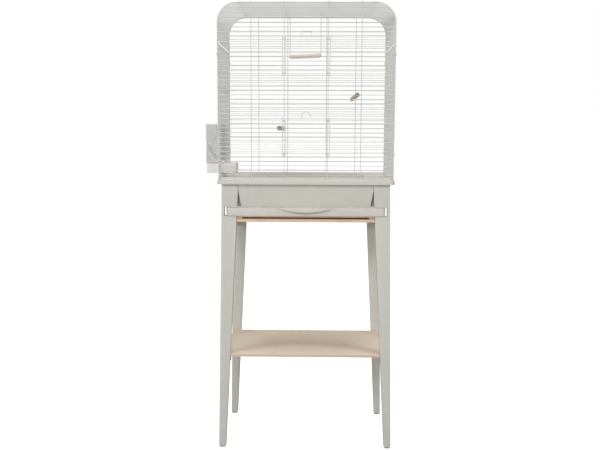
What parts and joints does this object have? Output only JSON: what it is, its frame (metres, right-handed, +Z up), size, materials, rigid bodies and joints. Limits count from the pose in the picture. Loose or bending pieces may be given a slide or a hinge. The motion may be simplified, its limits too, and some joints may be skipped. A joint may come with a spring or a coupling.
{
  "type": "bird cage on stand",
  "caption": "Wire cage for small birds with rounded top corners, on a tapered-leg stand with a drawer and a wooden shelf.",
  "frame": {"origin": "on the floor, under the middle of the whole object's box; the cage's own middle is 17.25 mm towards +X, because the feeder stands out on -X", "axes": "+Z up, -Y the front with the two sliding doors and the drawer's grip, +X to the right seen from the front"},
  "size_m": [0.4794, 0.288, 1.13],
  "materials": {
    "white_wire": "satin powder coat",
    "white_plastic": "fine moulded texture",
    "white_paint": "satin paint",
    "natural_wood": "clear matt lacquer",
    "perch_wood": "raw",
    "clear_plastic": "smoky clear",
    "zinc_steel": "zinc plated",
    "grey_rubber": "matt"
  },
  "bodies": {
    "cage_and_stand": {"front_grille": "white_wire", "back_grille": "white_wire", "left_grille": "white_wire", "right_grille": "white_wire", "top_grille": "white_wire", "base_skirt": "white_plastic", "feeder_trough": "white_plastic", "panel_clip_front_left_1": "white_plastic", "panel_clip_front_left_2": "white_plastic", "panel_clip_front_right_1": "white_plastic", "panel_clip_front_right_2": "white_plastic", "panel_clip_back_left_1": "white_plastic", "panel_clip_back_left_2": "white_plastic", "panel_clip_back_right_1": "white_plastic", "panel_clip_back_right_2": "white_plastic", "feeder_housing": "clear_plastic", "feeder_lid_pin": "zinc_steel", "shelf_bracket_front_left": "zinc_steel", "shelf_bracket_front_right": "zinc_steel", "shelf_bracket_back_left": "zinc_steel", "shelf_bracket_back_right": "zinc_steel", "leg_front_left": "white_paint", "leg_front_right": "white_paint", "leg_back_left": "white_paint", "leg_back_right": "white_paint", "side_rail_left": "white_paint", "side_rail_right": "white_paint", "back_rail": "white_paint", "foot_glide_front_left": "grey_rubber", "foot_glide_front_right": "grey_rubber", "foot_glide_back_left": "grey_rubber", "foot_glide_back_right": "grey_rubber", "top_board": "natural_wood", "drawer_deck": "natural_wood", "lower_shelf": "natural_wood", "drawer_runner_left": "natural_wood", "drawer_runner_right": "natural_wood", "perch_left": "perch_wood", "perch_right": "perch_wood"},
    "drawer": {"drawer": "white_plastic"},
    "upper_door": {"upper_front_door": "white_wire"},
    "lower_door": {"lower_front_door": "white_wire"},
    "swing": {"swing_hanger": "white_wire", "swing_perch": "perch_wood"},
    "feeder_lid": {"feeder_lid": "clear_plastic"}
  },
  "joints": [
    {"name": "drawer_slide", "type": "slide", "parent": "cage_and_stand", "child": "drawer", "axis": [0, -1, 0], "range_m": [0, 0.2]},
    {"name": "upper_door_slide", "type": "slide", "parent": "cage_and_stand", "child": "upper_door", "axis": [0, 0, 1], "range_m": [0, 0.08]},
    {"name": "lower_door_slide", "type": "slide", "parent": "cage_and_stand", "child": "lower_door", "axis": [0, 0, 1], "range_m": [0, 0.085]},
    {"name": "swing_hinge", "type": "hinge", "parent": "cage_and_stand", "child": "swing", "pos_m": [0.01375, 0.001, 1.1266], "axis": [1, 0, 0], "range_deg": [-35, 35]},
    {"name": "feeder_lid_hinge", "type": "hinge", "parent": "cage_and_stand", "child": "feeder_lid", "pos_m": [-0.20515, -0.0396, 0.8343], "axis": [0, 1, 0], "range_deg": [0, 85]}
  ]
}
